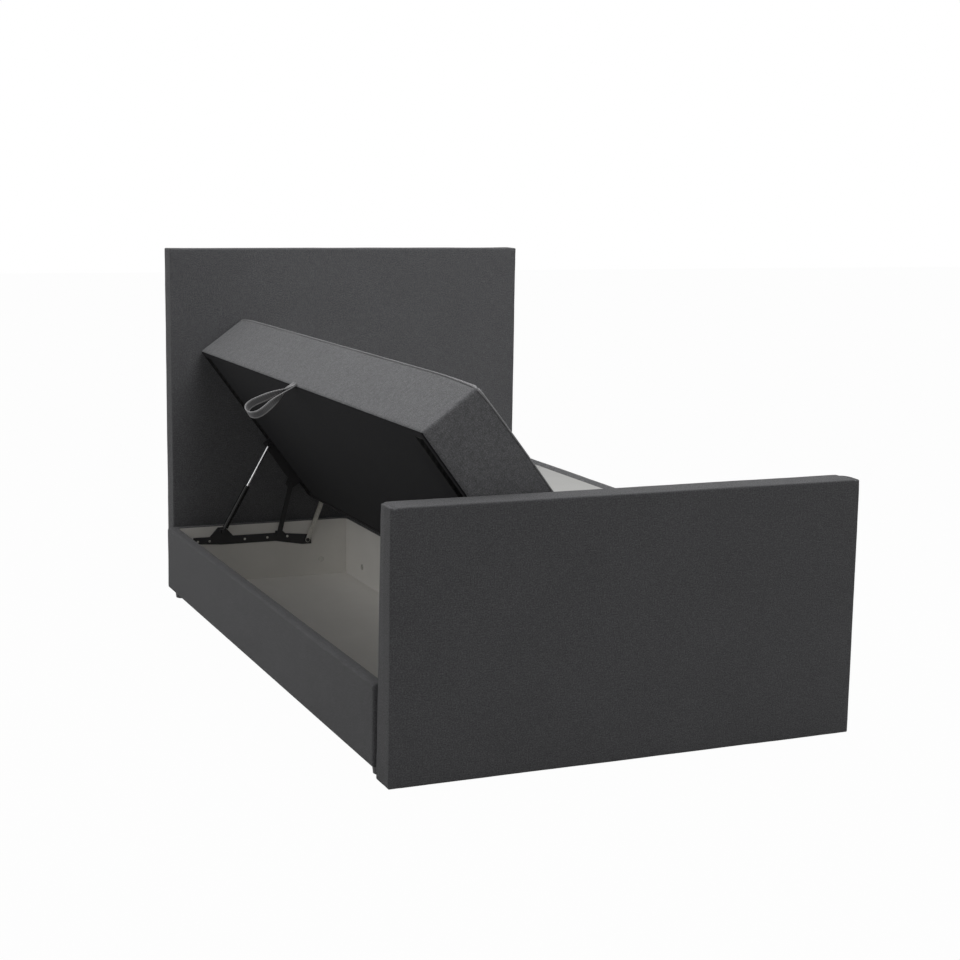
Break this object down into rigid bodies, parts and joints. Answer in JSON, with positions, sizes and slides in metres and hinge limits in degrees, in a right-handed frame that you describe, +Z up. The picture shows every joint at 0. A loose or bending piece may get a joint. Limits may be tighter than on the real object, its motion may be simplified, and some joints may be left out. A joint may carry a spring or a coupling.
{
  "type": "storage bed",
  "caption": "Upholstered bed with a headboard, a footboard and storage boxes under padded lids that tilt up on steel arms with gas springs.",
  "frame": {"origin": "on the floor under the middle of the whole bed's outline, seen from above", "axes": "+Y towards the headboard, +Z up, +X to the right when looking from the footboard to the headboard"},
  "size_m": [1.333, 2.1632, 1.146],
  "materials": {
    "white_board": "smooth white faced board",
    "grey_fabric": "dark grey mottled woven upholstery fabric",
    "white_fabric": "white non-slip fabric with a fine dotted grain",
    "black_fabric": "thin black non-woven lining",
    "webbing": "grey woven webbing with lighter edges",
    "spring_pockets": "white non-woven spring pockets",
    "foam": "soft foam and wadding",
    "timber": "planed softwood and thin fibreboard",
    "bare_steel": "zinc plated, satin",
    "screw_steel": "zinc plated, bright",
    "black_steel": "black powder coat, satin",
    "chrome_rod": "polished chrome",
    "black_plastic": "matt black"
  },
  "bodies": {
    "bed": {"left_box_floor": "white_board", "left_box_side": "white_board", "left_box_inner_wall": "white_board", "left_box_head_wall": "white_board", "left_box_foot_wall": "white_board", "left_box_cover": "grey_fabric", "left_box_feet": "black_plastic", "left_box_plates": "black_steel", "right_box_floor": "white_board", "right_box_side": "white_board", "right_box_inner_wall": "white_board", "right_box_head_wall": "white_board", "right_box_foot_wall": "white_board", "right_box_cover": "grey_fabric", "right_box_feet": "black_plastic", "right_box_plates": "black_steel", "box_plate_screws": "screw_steel", "box_joiners": "screw_steel", "board_bolts": "screw_steel", "headboard_frame": "timber", "headboard_board": "timber", "headboard_foam": "foam", "headboard_cover": "grey_fabric", "headboard_back": "black_fabric", "footboard_frame": "timber", "footboard_boards": "timber", "footboard_foam": "foam", "footboard_cover": "grey_fabric", "footboard_glides": "black_plastic"},
    "left_lid": {"left_lid_frame": "timber", "left_lid_slats": "timber", "left_lid_springs": "spring_pockets", "left_lid_foam": "foam", "left_lid_cover": "grey_fabric", "left_lid_top": "white_fabric", "left_lid_underside": "black_fabric", "left_lid_plates": "bare_steel", "left_lid_screws": "screw_steel", "left_pull_strap": "webbing"},
    "left_carrying_arms": {"left_carrying_arms": "bare_steel"},
    "left_guiding_arms": {"left_guiding_arms": "black_steel"},
    "left_gas_cylinders": {"left_gas_cylinders": "black_steel"},
    "left_gas_rods": {"left_gas_rods": "chrome_rod"},
    "right_lid": {"right_lid_frame": "timber", "right_lid_slats": "timber", "right_lid_springs": "spring_pockets", "right_lid_foam": "foam", "right_lid_cover": "grey_fabric", "right_lid_top": "white_fabric", "right_lid_underside": "black_fabric", "right_lid_plates": "bare_steel", "right_lid_screws": "screw_steel", "right_pull_strap": "webbing"},
    "right_carrying_arms": {"right_carrying_arms": "bare_steel"},
    "right_guiding_arms": {"right_guiding_arms": "black_steel"},
    "right_gas_cylinders": {"right_gas_cylinders": "black_steel"},
    "right_gas_rods": {"right_gas_rods": "chrome_rod"}
  },
  "joints": [
    {"name": "left_carrying_arms_pivot", "type": "hinge", "parent": "bed", "child": "left_carrying_arms", "pos_m": [-0.16182, 0.00625, 0.165], "axis": [0, 1, 0], "range_deg": [0, 24.95]},
    {"name": "left_lid_turn", "type": "hinge", "parent": "left_carrying_arms", "child": "left_lid", "pos_m": [-0.08672, 0.00625, 0.35876], "axis": [0, 1, 0], "range_deg": [-78.45, 0]},
    {"name": "left_guiding_arms_pivot", "type": "hinge", "parent": "bed", "child": "left_guiding_arms", "pos_m": [-0.26117, 0.00625, 0.19], "axis": [0, 1, 0], "range_deg": [0, 73.02]},
    {"name": "left_gas_springs_pivot", "type": "hinge", "parent": "bed", "child": "left_gas_cylinders", "pos_m": [-0.46, 0.00625, 0.214], "axis": [0, 1, 0], "range_deg": [0, 58.82]},
    {"name": "left_gas_springs_slide", "type": "slide", "parent": "left_gas_cylinders", "child": "left_gas_rods", "axis": [0.4886, 0, 0.8725], "range_m": [-0.11891, 0]},
    {"name": "right_carrying_arms_pivot", "type": "hinge", "parent": "bed", "child": "right_carrying_arms", "pos_m": [0.16182, 0.00625, 0.165], "axis": [0, -1, 0], "range_deg": [-24.95, 0]},
    {"name": "right_lid_turn", "type": "hinge", "parent": "right_carrying_arms", "child": "right_lid", "pos_m": [0.012, 0.00625, 0.309], "axis": [0, -1, 0], "range_deg": [0, 78.45]},
    {"name": "right_guiding_arms_pivot", "type": "hinge", "parent": "bed", "child": "right_guiding_arms", "pos_m": [0.26117, 0.00625, 0.19], "axis": [0, -1, 0], "range_deg": [-73.02, 0]},
    {"name": "right_gas_springs_pivot", "type": "hinge", "parent": "bed", "child": "right_gas_cylinders", "pos_m": [0.46, 0.00625, 0.214], "axis": [0, -1, 0], "range_deg": [-58.82, 0]},
    {"name": "right_gas_springs_slide", "type": "slide", "parent": "right_gas_cylinders", "child": "right_gas_rods", "axis": [-0.9994, 0, 0.0336], "range_m": [0, 0.11891]}
  ],
  "couplings": [
    {"joint": "left_carrying_arms_pivot", "follows": "left_lid_turn", "ratio": -0.31802},
    {"joint": "left_guiding_arms_pivot", "follows": "left_lid_turn", "ratio": -0.93077},
    {"joint": "left_gas_springs_pivot", "follows": "left_lid_turn", "ratio": -0.74985},
    {"joint": "left_gas_springs_slide", "follows": "left_lid_turn", "m_per_rad": 0.08685},
    {"joint": "right_carrying_arms_pivot", "follows": "right_lid_turn", "ratio": -0.31802},
    {"joint": "right_guiding_arms_pivot", "follows": "right_lid_turn", "ratio": -0.93077},
    {"joint": "right_gas_springs_pivot", "follows": "right_lid_turn", "ratio": -0.74985},
    {"joint": "right_gas_springs_slide", "follows": "right_lid_turn", "m_per_rad": 0.08685}
  ]
}
